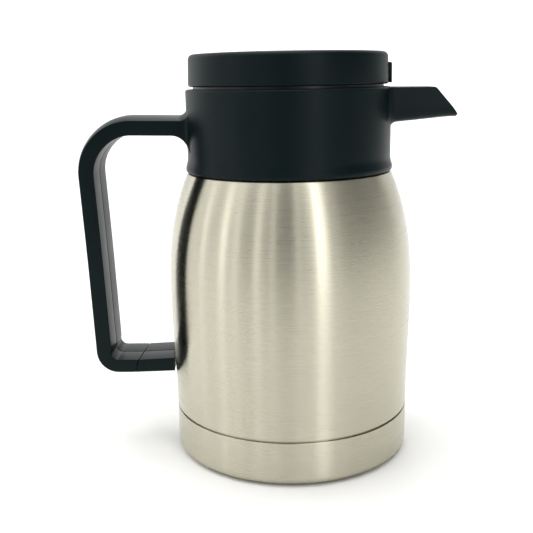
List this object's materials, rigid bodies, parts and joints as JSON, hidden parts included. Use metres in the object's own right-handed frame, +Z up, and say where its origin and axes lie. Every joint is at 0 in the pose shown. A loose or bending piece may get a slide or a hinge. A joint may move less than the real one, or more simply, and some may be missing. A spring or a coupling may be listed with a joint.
{
  "type": "vacuum coffee jug",
  "caption": "Hand-held double-wall steel vacuum jug with a moulded collar, beak spout, C handle and a screw lid with a threaded, foam-filled plug.",
  "frame": {"origin": "centre of the base pad's underside, on the axis of the steel body", "axes": "+Z up along the body's axis, +X towards the spout, -X towards the handle"},
  "size_m": [0.23, 0.15, 0.2453],
  "materials": {
    "brushed_steel": "satin",
    "plain_steel": "polished",
    "foil": "polished",
    "black_plastic": "satin",
    "grey_plastic": "satin",
    "silicone": "matte",
    "black_rubber": "matte",
    "foam": "matte",
    "glass_solder": "gloss"
  },
  "bodies": {
    "jug": {"outer_shell": "brushed_steel", "base_cup": "brushed_steel", "base_pad": "black_rubber", "inner_liner": "plain_steel", "outer_bottom": "plain_steel", "vacuum_port_seal": "glass_solder", "getter": "plain_steel", "heat_shield_foil": "foil", "neck_gasket": "silicone", "neck_ring": "grey_plastic", "collar_with_handle": "black_plastic", "handle_foot": "black_plastic", "handle_bracket": "plain_steel", "handle_screw_arm": "plain_steel", "handle_screw_bracket": "plain_steel"},
    "lid_seals": {"plug_seal": "silicone", "upper_seal": "silicone", "lid_foam": "foam"},
    "lid": {"lid_cap": "black_plastic", "lid_plug": "grey_plastic", "plug_base": "grey_plastic"}
  },
  "joints": [
    {"name": "lid_rise", "type": "slide", "parent": "jug", "child": "lid_seals", "axis": [0, 0, 1], "range_m": [0, 0.0481]},
    {"name": "lid_turn", "type": "hinge", "parent": "lid_seals", "child": "lid", "pos_m": [0, 0, 0.2], "axis": [0, 0, 1], "range_deg": [0, 1440]}
  ],
  "couplings": [
    {"joint": "lid_rise", "follows": "lid_turn", "m_per_rad": 0.0019099}
  ]
}
